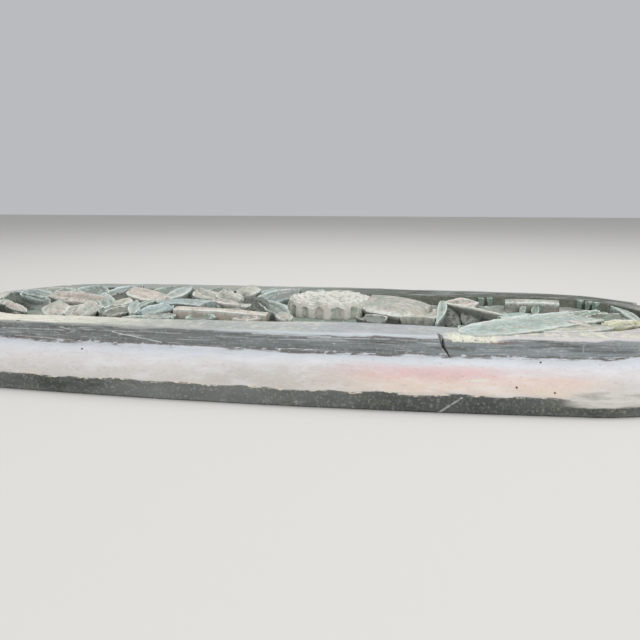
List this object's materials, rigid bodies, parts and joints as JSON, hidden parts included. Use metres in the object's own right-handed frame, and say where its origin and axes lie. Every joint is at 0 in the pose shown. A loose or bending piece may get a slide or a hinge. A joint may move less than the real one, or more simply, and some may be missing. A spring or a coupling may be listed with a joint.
{
  "type": "carved giltwood wall panel",
  "caption": "Oval-ended wooden panel with a stepped, painted edge and a sunk field of carved foliage round a central bloom.",
  "frame": {"origin": "middle of the flat back, where the panel lies", "axes": "+X along the panel's length, +Y from the near long edge to the far one, +Z out of the carved front"},
  "size_m": [0.517, 0.207, 0.046],
  "materials": {
    "giltwood": "worn gilding, grey lacquer and faded pink paint on old wood, matt and dusty"
  },
  "bodies": {
    "root": {"carved_panel": "giltwood"}
  },
  "joints": []
}
